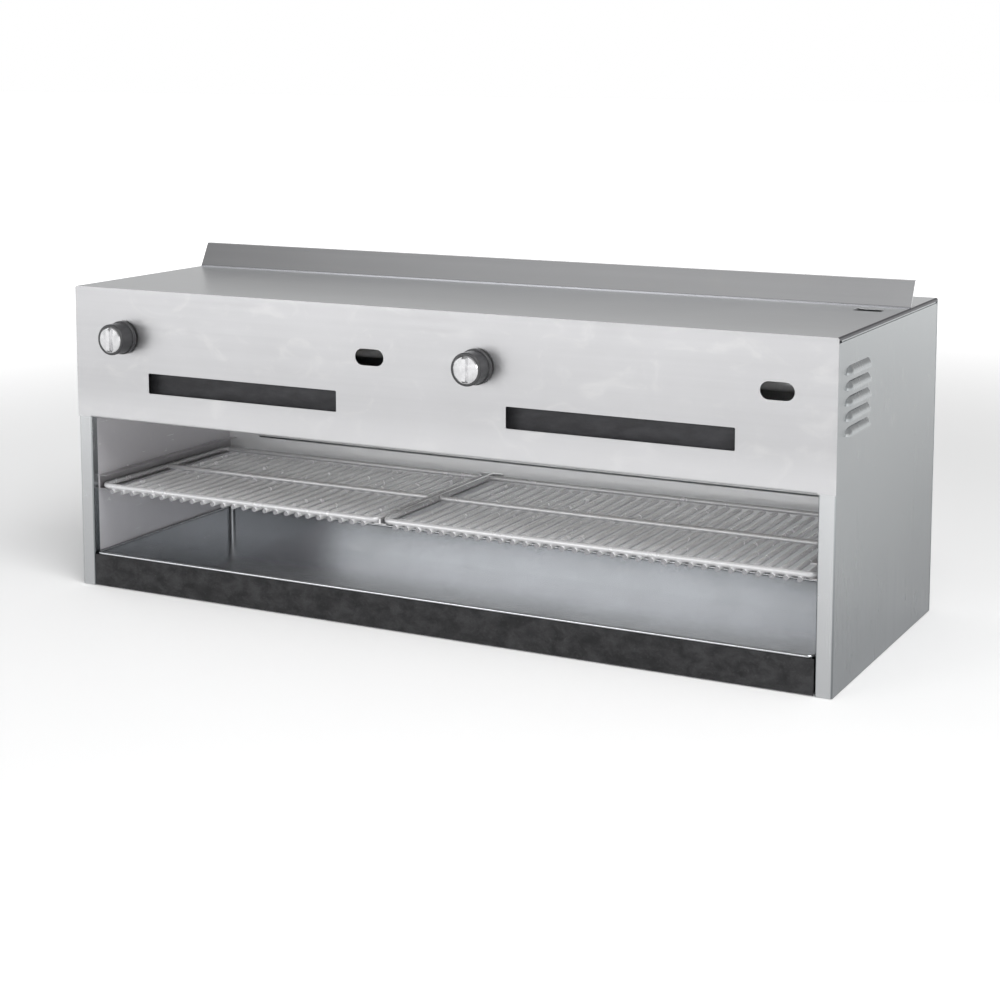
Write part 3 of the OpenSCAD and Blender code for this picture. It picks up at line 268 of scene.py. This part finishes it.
galvanLook = {"crystal": 90.0, "dark": (0.42, 0.44, 0.45), "light": (0.64, 0.66, 0.68), "rough": 0.42}
plenumLook = {"crystal": 160.0, "dark": (0.40, 0.40, 0.40), "light": (0.60, 0.60, 0.61), "rough": 0.46}
zincLook = {"crystal": 900.0, "dark": (0.60, 0.60, 0.58), "light": (0.78, 0.77, 0.72), "rough": 0.30}


# Bright plating and drawn metal: faint haze, wiping marks and a slight ripple
plating = {
    "haze": {"detail": 4.0, "rough": 0.6, "distortion": 0.7},
    "fine": {"stretch": 1400.0, "detail": 2.0, "rough": 0.5}, "fineRelief": 0.3,
    "spots": {"stretch": 420.0, "detail": 2.0, "rough": 0.6, "shift": (5.0, 1.0, 0.0)},
    "spotFrom": 0.66, "spotTo": 0.78, "spotRough": 0.25,
}


def plated(name, look):
    f = Finish(name)
    haze = f.noise(look["scale"], **plating["haze"])
    fine = f.noise(**plating["fine"])
    spots = f.noise(**plating["spots"]).ramp(plating["spotFrom"], plating["spotTo"])
    colour = f.blend(haze, look["dark"], look["light"])
    colour = f.blend(spots * look["spots"], colour, look["spotColour"])
    if "cut" in look:  # painted shade: the front ends of the wires are painted dark
        colour = f.blend(1.0 - f.axis("Y").ramp(*look["cut"]["span"]), colour, look["cut"]["colour"])
    if "bars" in look:  # painted shade: the frame rods lying over the wires are painted darker than the wires
        colour = f.blend(f.axis("Z").ramp(*look["bars"]["span"]), colour, look["bars"]["colour"])
    rough = look["rough"] + haze.swing(look["haze"]) + spots * plating["spotRough"]
    return f.close(colour=colour, rough=rough, metal=look["metal"], rim=look["rim"],
                   normal=f.bump(haze + fine * plating["fineRelief"], look["ripple"]))


# partly real haze, partly painted reflection: the caps' colour swings from dark to near white in broad patches,
# standing in for what the chrome mirrors
knobLook = {
    "scale": 55.0, "dark": (0.36, 0.36, 0.37), "light": (0.96, 0.96, 0.97), "rough": 0.12, "haze": 0.10,
    "metal": 1.0, "rim": white, "spots": 0.15, "spotColour": (0.45, 0.44, 0.42), "ripple": 0.00003,
}
rackLook = {
    **knobLook, "scale": 35.0, "dark": (0.92, 0.92, 0.93), "light": (0.98, 0.98, 0.99), "rough": 0.26,
    # painted shade: dark on the front ends of the rack wires
    "metal": 0.3, "cut": {"span": (-0.2184, -0.2177), "colour": (0.26, 0.26, 0.27)},
    # painted shade: the frame rods on top of the rack are painted darker
    "bars": {"span": (0.1526, 0.1536), "colour": (0.56, 0.56, 0.57)},
    "spots": 0.12, "spotColour": (0.50, 0.42, 0.34), "ripple": 0.00005,
}
panLook = {
    **knobLook, "scale": 9.0, "dark": (0.42, 0.43, 0.44), "light": (0.52, 0.53, 0.55), "rough": 0.09,
    "haze": 0.05, "rim": (0.5, 0.5, 0.5), "spots": 0.10, "spotColour": (0.46, 0.40, 0.34), "ripple": 0.0003,
}
brassLook = {
    **knobLook, "scale": 90.0, "dark": (0.55, 0.41, 0.17), "light": (0.76, 0.60, 0.29), "rough": 0.26,
    "spots": 0.4, "spotColour": (0.30, 0.21, 0.10), "ripple": 0.00004,
}
pipeZincLook = {
    **knobLook, "scale": 60.0, "dark": (0.66, 0.66, 0.67), "light": (0.88, 0.88, 0.89), "rough": 0.38,
    "metal": 0.3, "spots": 0.3, "spotColour": (0.44, 0.43, 0.42), "ripple": 0.00006,
}
tubeLook = {
    **knobLook, "scale": 70.0, "dark": (0.62, 0.63, 0.64), "light": (0.82, 0.83, 0.84), "rough": 0.32,
    "spots": 0.2, "spotColour": (0.36, 0.34, 0.32), "ripple": 0.00005,
}


# Charcoal enamel with soft lumps, burnt-on film and rubbed grey specks
enamel = {
    "lumps": {"detail": 5.0, "rough": 0.66, "shift": (1.0, 2.0, 6.0), "distortion": 0.3},
    "lumpFrom": 0.30, "lumpTo": 0.72,
    "film": {"stretch": (24.0, 24.0, 40.0), "detail": 5.0, "rough": 0.62, "shift": (6.0, 0.0, 2.0),
             "distortion": 0.4},
    "filmFrom": 0.52, "filmTo": 0.72, "filmShare": 0.6, "filmRough": 0.3, "filmRelief": 0.5,
    "specks": {"stretch": 260.0, "detail": 3.0, "rough": 0.6},
    "speckFrom": 0.56, "speckTo": 0.72, "speckShare": 0.25, "speckRough": 0.12,
    "skinRelief": 0.0002, "skinStrength": 0.6,
}


def mottledEnamel(name, look):
    f = Finish(name)
    lumps = f.noise(look["lump"], **enamel["lumps"])
    film = f.noise(**enamel["film"])
    specks = f.noise(**enamel["specks"]).ramp(enamel["speckFrom"], enamel["speckTo"])
    burnt = film.ramp(enamel["filmFrom"], enamel["filmTo"])
    colour = f.blend(lumps.ramp(enamel["lumpFrom"], enamel["lumpTo"]), look["dark"], look["light"])
    colour = f.blend(burnt * enamel["filmShare"], colour, look["film"])
    colour = f.blend(specks * enamel["speckShare"], colour, look["speck"])
    rough = look["rough"] + film.swing(enamel["filmRough"]) + specks * enamel["speckRough"]
    soft = f.bump(lumps, look["relief"])
    skin = f.bump(specks + film * enamel["filmRelief"], enamel["skinRelief"], enamel["skinStrength"], soft)
    return f.close(colour=colour, rough=rough, metal=0.0, normal=skin, specular=look["specular"])


panFrontLook = {
    "lump": (34.0, 34.0, 46.0), "dark": (0.008, 0.008, 0.009), "light": (0.034, 0.034, 0.036),
    "film": (0.014, 0.014, 0.015), "speck": (0.070, 0.070, 0.070), "rough": 0.56, "relief": 0.0016,
    "specular": 0.25,
}
baffleLook = {
    "lump": (12.0, 12.0, 40.0), "dark": (0.026, 0.026, 0.029), "light": (0.050, 0.050, 0.055),
    "film": (0.035, 0.035, 0.036), "speck": (0.07, 0.07, 0.07), "rough": 0.62, "relief": 0.0004,
    "specular": 0.35,
}
pipeLook = {
    "lump": (50.0, 50.0, 50.0), "dark": (0.020, 0.020, 0.021), "light": (0.050, 0.050, 0.052),
    "film": (0.075, 0.055, 0.042), "speck": (0.09, 0.09, 0.09), "rough": 0.42, "relief": 0.0003,
    "specular": 0.5,
}


# Moulded phenolic: a dark satin skin with flow marks, dulled where fingers rub it
moulded = {
    "flow": {"stretch": (90.0, 40.0, 90.0), "detail": 4.0, "rough": 0.55, "shift": (2.0, 5.0, 1.0),
             "distortion": 0.8},
    "skin": {"stretch": 1800.0, "detail": 3.0, "rough": 0.6},
    "rubbed": {"stretch": 55.0, "detail": 3.0, "rough": 0.6, "shift": (8.0, 1.0, 4.0)},
    "rubbedFrom": 0.50, "rubbedTo": 0.70, "rubbedShare": 0.4,
    "flowRough": 0.12, "skinRough": 0.10, "rubbedRough": 0.10, "flowRelief": 0.3, "relief": 0.00004,
}


def mouldedBlack(name, look):
    f = Finish(name)
    flow = f.noise(**moulded["flow"])
    skin = f.noise(**moulded["skin"])
    rubbed = f.noise(**moulded["rubbed"]).ramp(moulded["rubbedFrom"], moulded["rubbedTo"])
    colour = f.blend(flow, look["dark"], look["light"])
    colour = f.blend(rubbed * moulded["rubbedShare"], colour, look["rubbed"])
    rough = (look["rough"] + flow.swing(moulded["flowRough"]) + skin.swing(moulded["skinRough"])
             + rubbed * moulded["rubbedRough"])
    return f.close(colour=colour, rough=rough, metal=0.0, specular=look["specular"],
                   normal=f.bump(skin + flow * moulded["flowRelief"], moulded["relief"]))


knobBodyLook = {
    "dark": (0.022, 0.022, 0.024), "light": (0.042, 0.042, 0.045), "rubbed": (0.065, 0.065, 0.068),
    "rough": 0.34, "specular": 0.5,
}


# Raw cast metal: a pebbled skin, in lighter and darker clouds
cast = {
    "pebbles": {"stretch": 340.0, "detail": 4.0, "rough": 0.6},
    "cloud": {"stretch": 22.0, "detail": 3.0, "rough": 0.6, "distortion": 0.6},
    "pebbleShare": 0.5, "cloudShare": 0.5, "pebbleRough": 0.25, "relief": 0.0004,
}


def castMetal(name, look):
    f = Finish(name)
    pebbles = f.noise(**cast["pebbles"])
    cloud = f.noise(**cast["cloud"])
    colour = f.blend(pebbles * cast["pebbleShare"] + cloud * cast["cloudShare"], look["dark"], look["light"])
    rough = look["rough"] + pebbles.swing(cast["pebbleRough"])
    return f.close(colour=colour, rough=rough, metal=look["metal"], normal=f.bump(pebbles, cast["relief"]))


mixerLook = {"dark": (0.13, 0.13, 0.13), "light": (0.33, 0.33, 0.34), "rough": 0.55, "metal": 0.85}
regulatorLook = {"dark": (0.40, 0.41, 0.42), "light": (0.62, 0.63, 0.65), "rough": 0.42, "metal": 1.0}


# Pale ceramic glow tile: a grid of fine holes, browned by use. The rim of a hole is given as shares of the pitch.
def ceramicTile(name, look):
    f = Finish(name)
    half = look["holePitch"] / 2
    fromX = f.axis("X").pingPong(half) / look["holePitch"]
    fromY = f.axis("Y").pingPong(half) / look["holePitch"]
    away = (fromX * fromX + fromY * fromY) ** 0.5
    hole = 1.0 - away.ramp(*look["holeRim"])
    burnt = f.noise(**look["burntNoise"])
    colour = f.blend(burnt.ramp(*look["burntSpan"]), look["pale"], look["burnt"])
    # painted shade: each hole is painted near black, standing in for the shade inside it
    colour = f.blend(hole * look["holeShare"], colour, look["hole"])
    return f.close(colour=colour, rough=look["rough"] + hole * look["holeRough"], metal=0.0,
                   specular=look["specular"],
                   normal=f.bump(1.0 - hole + burnt * look["burntRelief"], look["relief"]))


tileLook = {
    "holePitch": 0.0036, "holeRim": (0.20, 0.30), "holeShare": 0.9, "holeRough": 0.1, "hole": (0.07, 0.05, 0.04),
    "pale": (0.74, 0.66, 0.54), "burnt": (0.50, 0.36, 0.24), "burntSpan": (0.40, 0.70), "burntRelief": 0.2,
    "burntNoise": {"stretch": 16.0, "detail": 4.0, "rough": 0.6, "distortion": 0.5},
    "rough": 0.85, "relief": 0.0006, "specular": 0.3,
}


# Which finish each piece gets: the finish's maker, name and look, then its pieces
finishes = [
    (brushedSheet, "frontSteel", frontLook, ["front_panel"]),
    (brushedSheet, "sideSteel", sideLook, ["left_side_panel", "right_side_panel"]),
    (brushedSheet, "roofSteel", roofLook, ["roof_panel"]),
    (brushedSheet, "riserSteel", riserLook, ["flue_riser"]),
    (heatedSheet, "linerSteel", linerLook, ["rear_liner"]),
    (heatedSheet, "wallSteel", wallLook, ["left_liner", "right_liner"]),
    (heatedSheet, "deckSteel", deckLook, ["burner_deck"]),
    (brushedSheet, "guideSteel", guideLook, ["left_rack_guide", "right_rack_guide"]),
    (brushedSheet, "railSteel", railLook, ["centre_rack_rail"]),
    (brushedSheet, "bracketSteel", bracketLook, ["manifold_brackets"]),
    (heatedSheet, "guardSteel", guardLook, ["left_burner_guard", "right_burner_guard"]),
    (brushedSheet, "pilotSteel", pilotLook, ["left_pilot_burner", "right_pilot_burner"]),
    (galvanised, "galvanisedSheet", galvanLook,
     ["back_panel", "base_panel", "left_flue_side", "right_flue_side", "rear_rail"]),
    (galvanised, "gasBoxSheet", plenumLook, ["left_plenum", "right_plenum"]),
    (galvanised, "zincPlating", zincLook, ["back_screws", "leg_nuts"]),
    (plated, "knobChrome", knobLook, ["left_knob_cap", "right_knob_cap"]),
    (mouldedBlack, "knobBlack", knobBodyLook, ["left_knob", "right_knob"]),
    (plated, "rackPlating", rackLook, ["left_rack", "right_rack"]),
    (plated, "panSheet", panLook, ["drip_pan"]),
    (plated, "valveBrass", brassLook,
     ["left_valve", "right_valve", "left_valve_stem", "right_valve_stem", "left_orifice", "right_orifice",
      "left_pilot_valve", "right_pilot_valve"]),
    (plated, "tubeAluminium", tubeLook,
     ["left_burner_tube", "right_burner_tube", "left_pilot_tube", "right_pilot_tube"]),
    (mottledEnamel, "panFrontEnamel", panFrontLook, ["pan_front"]),
    (mottledEnamel, "baffleBlack", baffleLook, ["left_slot_baffle", "right_slot_baffle"]),
    (plated, "pipeZinc", pipeZincLook, ["manifold_pipe", "manifold_cap"]),
    (mottledEnamel, "pipeVarnish", pipeLook, ["supply_pipe", "supply_elbow", "inlet_coupling"]),
    (castMetal, "mixerIron", mixerLook, ["left_mixing_tube", "right_mixing_tube"]),
    (castMetal, "regulatorCasting", regulatorLook, ["gas_regulator"]),
    (ceramicTile, "glowTile", tileLook, ["left_tiles", "right_tiles"]),
]
for make, finishName, look, pieces in finishes:
    finish = make(finishName, look)
    for piece in pieces:
        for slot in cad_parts[piece].material_slots:
            slot.material = finish
print("finishes made:", len(finishes))


# Floor: white, keeps the shadow, and glows into the white backdrop further out. Mirrors see a share of the glow.
floorLook = {
    "size": 60.0, "z": -0.0006, "colour": (0.86, 0.86, 0.86), "nearGlow": 0.10, "farGlow": 1.00,
    "glowFrom": 1.2, "glowTo": 5.0, "mirrorShare": 0.6,
}


def makeFloor(look):
    bpy.ops.mesh.primitive_plane_add(size=look["size"], location=(0, 0, look["z"]))
    floor = bpy.context.object
    floor.name = "studioFloor"
    f = Finish("studioFloor")
    seen, mirrored, through = (f.node("LightPath", output=kind)
                               for kind in ("Is Camera Ray", "Is Glossy Ray", "Is Transmission Ray"))
    ray = seen + (mirrored + through) * look["mirrorShare"]
    x, y = f.axis("X"), f.axis("Y")
    away = ((x * x + y * y) ** 0.5).ramp(look["glowFrom"], look["glowTo"])
    level = look["nearGlow"] + away * (look["farGlow"] - look["nearGlow"])
    base = f.node("BsdfDiffuse", inputs={"Color": look["colour"]})
    glow = f.node("Emission", inputs={"Color": white, "Strength": ray * level})
    both = f.node("AddShader", inputs={0: base, 1: glow})
    f.node("OutputMaterial", inputs={"Surface": both})
    floor.data.materials.append(f.owner)


# Sky: a level for each side and a wide low soft box at the front left, white at the horizon behind.
# Each pair is where a change starts and ends, along the unit direction.
skyLook = {
    "front": 1.50, "softBox": 3.50, "behind": 0.44, "frontAbove": 0.45, "overhead": 0.45, "leftShare": 0.28,
    "softBoxSide": (0.12, 0.36), "softBoxAhead": (0.40, 0.70), "softBoxTop": (0.14, 0.34),
    "behindToFront": (-0.3, 0.5), "overheadHeight": (0.50, 0.85), "leftSide": (0.40, 0.75),
    "leftHeight": (0.20, 0.50), "horizonHeight": (0.10, 0.16), "horizonAhead": (-0.1, 0.3),
}


def makeSky(look):
    world = bpy.data.worlds.new("studioSky")
    scene.world = world
    f = Finish("studioSky", world)
    direction = f.node("TexCoord", output="Generated")
    x, y, z = (f.node("SeparateXYZ", inputs={0: direction}, output=letter) for letter in "XYZ")
    toLeft, toFront = 0.0 - x, 0.0 - y
    inSoftBox = toLeft.ramp(*look["softBoxSide"]) * toFront.ramp(*look["softBoxAhead"])
    low = look["front"] + (look["softBox"] - look["front"]) * inSoftBox
    ahead = low + (look["frontAbove"] - low) * z.ramp(*look["softBoxTop"])
    level = look["behind"] + (ahead - look["behind"]) * toFront.ramp(*look["behindToFront"])
    level = level + (look["overhead"] - level) * z.ramp(*look["overheadHeight"])
    onLeft = toLeft.ramp(*look["leftSide"]) * z.ramp(*look["leftHeight"])
    level = level * (1.0 - (1.0 - look["leftShare"]) * onLeft)
    horizon = (1.0 - z.ramp(*look["horizonHeight"])) * (1.0 - toFront.ramp(*look["horizonAhead"]))
    back = f.node("Background", inputs={"Color": white, "Strength": level + horizon * (1.0 - level)})
    f.node("OutputWorld", inputs={"Surface": back})


lamps = {
    "keyLamp": {"place": (2.2, -1.8, 3.6), "target": (0.1, -0.6, 0.0), "size": (2.6, 2.4), "watts": 120.0},
    "lowLeftLamp": {"place": (-1.5, -3.2, 1.25), "target": (0.0, 0.0, 0.12), "size": (1.8, 0.9), "watts": 14.0},
    "lowRightLamp": {"place": (2.2, -3.0, 1.15), "target": (-0.4, 0.1, 0.08), "size": (1.4, 0.8), "watts": 10.5},
    "fillLamp": {"place": (-3.6, 0.8, 2.4), "target": (-0.4, 0.1, 0.1), "size": (2.0, 2.0), "watts": 16.0,
                 "colour": (0.97, 0.98, 1.0)},
}


def makeLamp(name, place, target, size, watts, colour=white):
    bpy.ops.object.light_add(type="AREA", location=place)
    lamp = bpy.context.object
    lamp.name = name
    lamp.data.shape = "RECTANGLE"
    lamp.data.size, lamp.data.size_y = size
    lamp.data.energy = watts
    lamp.data.color = colour
    lamp.rotation_euler = (Vector(target) - Vector(place)).to_track_quat("-Z", "Y").to_euler()


makeFloor(floorLook)
makeSky(skyLook)
for lampName, lampValues in lamps.items():
    makeLamp(lampName, **lampValues)
print("studio made:", len(lamps), "lamps")


# Camera: from the front right and a little above; "turn" and "tip" are degrees
view = {
    "place": (1.3652, -2.6019, 0.8247), "turn": 27.553, "tip": 7.128, "sensorWidth": 36.0,
    "lensPerWidth": 1.9707, "rise": -0.2,
}
bpy.ops.object.camera_add(location=view["place"])
camera = bpy.context.object
camera.rotation_euler = (math.radians(90.0 - view["tip"]), 0.0, math.radians(view["turn"]))
camera.data.sensor_width = view["sensorWidth"]
camera.data.lens = view["lensPerWidth"] * view["sensorWidth"]
camera.data.shift_y = view["rise"]
scene.camera = camera
scene.view_settings.view_transform = "Standard"
print("camera placed")
